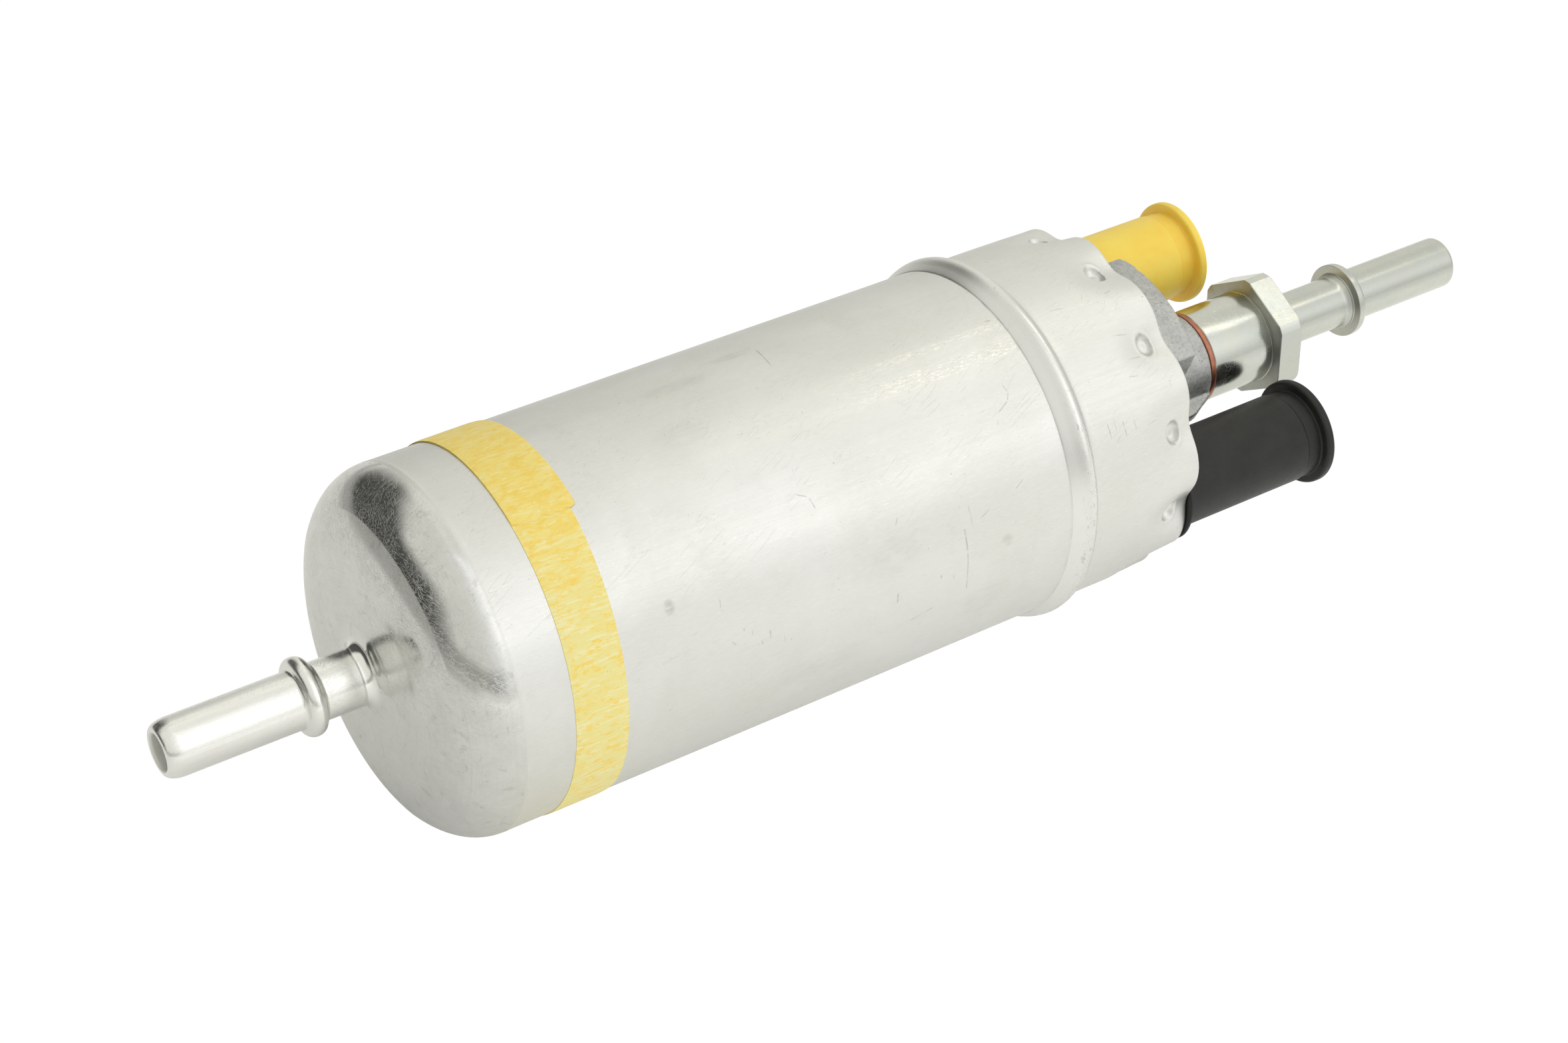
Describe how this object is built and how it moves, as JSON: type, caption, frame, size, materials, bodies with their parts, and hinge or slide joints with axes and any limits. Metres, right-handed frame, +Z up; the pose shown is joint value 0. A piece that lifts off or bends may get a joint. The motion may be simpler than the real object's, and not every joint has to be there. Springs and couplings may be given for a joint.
{
  "type": "electric fuel pump",
  "caption": "Round in-line electric fuel pump in a drawn metal can, with a beaded inlet tube at the domed end, a crimped cover with an outlet fitting, and push-on caps over the terminals.",
  "frame": {"origin": "on the pump axis, in the middle of the plain length of the can that the holding clamp grips, between the paper band and the stop bead", "axes": "the pump lies on its side as pictured: +X along the axis from the inlet to the outlet, +Z up, +Y by the right-hand rule. The line through the two terminals stands 21.8 degrees above +Y, as in the picture."},
  "size_m": [0.2198, 0.0544, 0.0544],
  "materials": {
    "can_aluminium": "drawn and wiped, satin along the body, brighter on the domed end, small scratches and dents",
    "paper_tape": "thin pale yellow paper tape, matt, darker where the glue shows through",
    "diecast_cover": "die-cast, dull grey, slightly grainy",
    "black_rubber": "moulded, matt",
    "zinc_steel": "turned steel with a thin bright zinc plating",
    "copper_washer": "soft copper, satin",
    "brass": "turned",
    "dark_plastic": "moulded, glass filled",
    "spring_steel": "drawn wire and strip",
    "yellow_plastic": "soft moulded polythene, satin, faint moulding marks",
    "black_plastic": "soft moulded polythene, satin, light scuffs",
    "carbon": "pressed carbon",
    "copper_wire": "enamelled copper",
    "ground_steel": "ground",
    "lamination_steel": "stamped laminations",
    "light_plastic": "low-friction plastic",
    "ferrite": "pressed ferrite, matt",
    "sintered_steel": "sintered and ground on its faces",
    "bronze": "sintered bronze",
    "mesh_steel": "fine woven mesh"
  },
  "bodies": {
    "pump": {"housing_can": "can_aluminium", "tape_band": "paper_tape", "end_cover": "diecast_cover", "bearing_carrier": "sintered_steel", "cover_oring": "black_rubber", "outlet_fitting": "zinc_steel", "sealing_washer": "copper_washer", "check_valve_seat": "brass", "check_valve_spring": "spring_steel", "stud_positive": "zinc_steel", "stud_negative": "zinc_steel", "insulator_positive": "dark_plastic", "insulator_negative": "dark_plastic", "terminal_washer_positive": "zinc_steel", "terminal_washer_negative": "zinc_steel", "nut_positive": "zinc_steel", "nut_negative": "zinc_steel", "brush_holder": "dark_plastic", "brush_spring_a": "spring_steel", "brush_spring_b": "spring_steel", "choke_positive": "copper_wire", "choke_negative": "copper_wire", "magnet_a": "ferrite", "magnet_b": "ferrite", "magnet_clip_a": "spring_steel", "magnet_clip_b": "spring_steel", "flux_ring": "lamination_steel", "intake_plate": "sintered_steel", "pump_ring": "sintered_steel", "discharge_plate": "sintered_steel", "pump_screw_1": "ground_steel", "pump_screw_2": "ground_steel", "pump_screw_3": "ground_steel", "relief_spring": "spring_steel", "relief_plug": "brass", "bearing_intake": "bronze", "bearing_discharge": "bronze", "bearing_cover": "bronze", "damper_ring": "black_rubber", "inlet_strainer": "mesh_steel"},
    "armature": {"shaft": "ground_steel", "armature_core": "lamination_steel", "armature_windings": "copper_wire", "commutator": "copper_wire", "thrust_washer": "light_plastic", "inner_gear": "sintered_steel"},
    "outer_rotor": {"outer_gear": "sintered_steel"},
    "poppet": {"check_valve_poppet": "dark_plastic"},
    "ball": {"relief_ball": "ground_steel"},
    "brush_one": {"brush_a": "carbon"},
    "brush_two": {"brush_b": "carbon"},
    "cap_yellow": {"yellow_cap": "yellow_plastic"},
    "cap_black": {"black_cap": "black_plastic"}
  },
  "joints": [
    {"name": "armature_spin", "type": "hinge", "parent": "pump", "child": "armature", "pos_m": [0, 0, 0], "axis": [1, 0, 0], "continuous": true},
    {"name": "outer_gear_spin", "type": "hinge", "parent": "pump", "child": "outer_rotor", "pos_m": [0, 0, -0.0011], "axis": [1, 0, 0], "continuous": true},
    {"name": "check_valve_lift", "type": "slide", "parent": "pump", "child": "poppet", "axis": [1, 0, 0], "range_m": [0, 0.002], "stiffness_N_per_m": 150, "springref_m": -0.003, "deforming": ["check_valve_spring"]},
    {"name": "relief_valve_lift", "type": "slide", "parent": "pump", "child": "ball", "axis": [-1, 0, 0], "range_m": [0, 0.0015], "stiffness_N_per_m": 900, "springref_m": -0.003, "deforming": ["relief_spring"]},
    {"name": "brush_a_slide", "type": "slide", "parent": "pump", "child": "brush_one", "axis": [0, -0.3714, 0.9285], "range_m": [0, 0.0015], "stiffness_N_per_m": 120, "springref_m": -0.003, "deforming": ["brush_spring_a"]},
    {"name": "brush_b_slide", "type": "slide", "parent": "pump", "child": "brush_two", "axis": [0, 0.3714, -0.9285], "range_m": [0, 0.0015], "stiffness_N_per_m": 120, "springref_m": -0.003, "deforming": ["brush_spring_b"]},
    {"name": "yellow_cap_pull", "type": "slide", "parent": "pump", "child": "cap_yellow", "axis": [1, 0, 0], "range_m": [0, 0.035]},
    {"name": "black_cap_pull", "type": "slide", "parent": "pump", "child": "cap_black", "axis": [1, 0, 0], "range_m": [0, 0.035]}
  ],
  "couplings": [
    {"joint": "outer_gear_spin", "follows": "armature_spin", "ratio": 0.85714}
  ]
}
